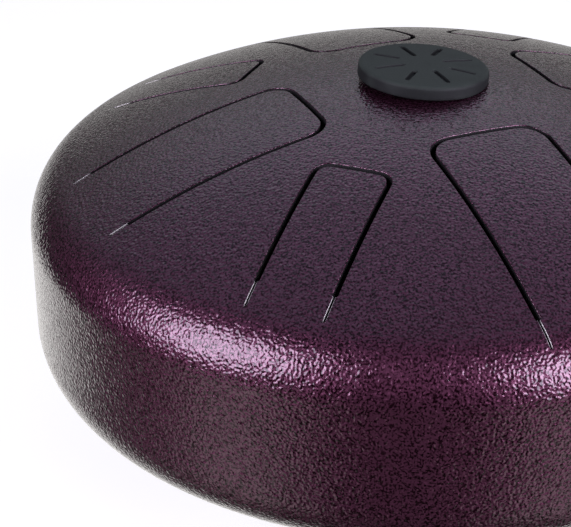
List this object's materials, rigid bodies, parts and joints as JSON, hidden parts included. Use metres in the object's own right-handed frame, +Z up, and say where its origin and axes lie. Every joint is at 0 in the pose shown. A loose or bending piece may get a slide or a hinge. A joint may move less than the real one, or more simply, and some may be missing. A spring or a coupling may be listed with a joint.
{
  "type": "steel tongue drum",
  "caption": "Round lens-shaped steel tongue drum with alternately wide and narrow tongues cut in its domed head, a rubber centre badge and a rubber base ring.",
  "frame": {"origin": "centre of the base ring's foot, on the surface that the drum stands on", "axes": "+Z up along the drum's axis, +X to the right and -Y towards the camera in the picture"},
  "size_m": [0.3048, 0.3048, 0.1584],
  "materials": {
    "powder_coat": "fine wrinkle powder coat, dark purple, semi-gloss",
    "rubber_badge": "matte moulded rubber, dark grey",
    "rubber_ring": "matte moulded rubber, black"
  },
  "bodies": {
    "drum": {"upper_shell": "powder_coat", "lower_shell": "powder_coat", "girth_weld": "powder_coat", "centre_badge": "rubber_badge", "base_ring": "rubber_ring"},
    "tongue_1": {"tongue_1": "powder_coat"},
    "tongue_2": {"tongue_2": "powder_coat"},
    "tongue_3": {"tongue_3": "powder_coat"},
    "tongue_4": {"tongue_4": "powder_coat"},
    "tongue_5": {"tongue_5": "powder_coat"},
    "tongue_6": {"tongue_6": "powder_coat"},
    "tongue_7": {"tongue_7": "powder_coat"},
    "tongue_8": {"tongue_8": "powder_coat"}
  },
  "joints": [
    {"name": "tongue_1_flex", "type": "hinge", "parent": "drum", "child": "tongue_1", "pos_m": [-0.04238, -0.13045, 0.118], "axis": [0.9511, -0.309, 0], "range_deg": [-0.3, 0.3], "stiffness_Nm_per_rad": 310},
    {"name": "tongue_2_flex", "type": "hinge", "parent": "drum", "child": "tongue_2", "pos_m": [0.06497, -0.12751, 0.11424], "axis": [0.891, 0.454, 0], "range_deg": [-0.3, 0.3], "stiffness_Nm_per_rad": 360},
    {"name": "tongue_3_flex", "type": "hinge", "parent": "drum", "child": "tongue_3", "pos_m": [0.12392, -0.04027, 0.1214], "axis": [0.309, 0.9511, 0], "range_deg": [-0.3, 0.3], "stiffness_Nm_per_rad": 350},
    {"name": "tongue_4_flex", "type": "hinge", "parent": "drum", "child": "tongue_4", "pos_m": [0.12289, 0.06262, 0.11761], "axis": [-0.454, 0.891, 0], "range_deg": [-0.3, 0.3], "stiffness_Nm_per_rad": 380},
    {"name": "tongue_5_flex", "type": "hinge", "parent": "drum", "child": "tongue_5", "pos_m": [0.04088, 0.12581, 0.12044], "axis": [-0.9511, 0.309, 0], "range_deg": [-0.3, 0.3], "stiffness_Nm_per_rad": 330},
    {"name": "tongue_6_flex", "type": "hinge", "parent": "drum", "child": "tongue_6", "pos_m": [-0.06365, 0.12493, 0.11636], "axis": [-0.891, -0.454, 0], "range_deg": [-0.3, 0.3], "stiffness_Nm_per_rad": 370},
    {"name": "tongue_7_flex", "type": "hinge", "parent": "drum", "child": "tongue_7", "pos_m": [-0.12088, 0.03928, 0.12291], "axis": [-0.309, -0.9511, 0], "range_deg": [-0.3, 0.3], "stiffness_Nm_per_rad": 370},
    {"name": "tongue_8_flex", "type": "hinge", "parent": "drum", "child": "tongue_8", "pos_m": [-0.11882, -0.06054, 0.11992], "axis": [0.454, -0.891, 0], "range_deg": [-0.3, 0.3], "stiffness_Nm_per_rad": 400}
  ]
}
